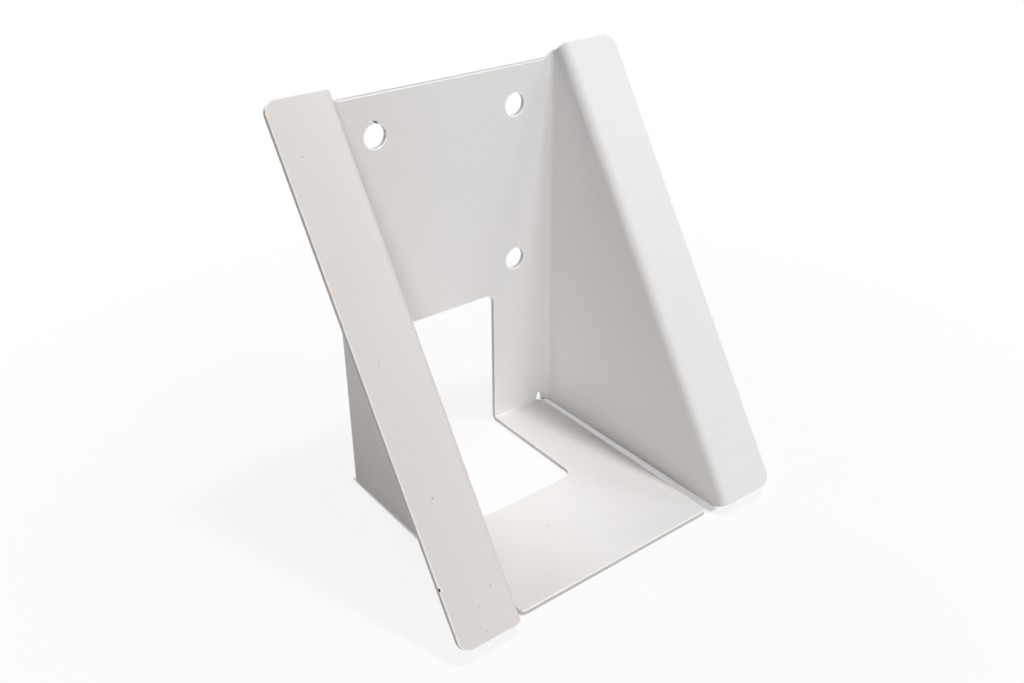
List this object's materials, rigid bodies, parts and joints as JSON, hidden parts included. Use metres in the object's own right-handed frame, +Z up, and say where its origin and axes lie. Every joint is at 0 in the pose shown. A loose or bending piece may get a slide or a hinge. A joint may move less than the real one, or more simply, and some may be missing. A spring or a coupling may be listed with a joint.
{
  "type": "angled wall bracket",
  "caption": "Folded sheet-steel wall bracket: side plates carry a sloping front face of outward flanges over a slotted base plate and a cable opening.",
  "frame": {"origin": "middle of the four wall screw holes, in the wall face of the back plate", "axes": "+Z up along the wall, +Y into the wall, +X across the bracket to the right of someone who faces the wall"},
  "size_m": [0.096, 0.0712, 0.1044],
  "materials": {
    "powder_coat": "off-white powder coat with a fine, soft texture and a low sheen"
  },
  "bodies": {
    "root": {"bracket": "powder_coat"}
  },
  "joints": []
}
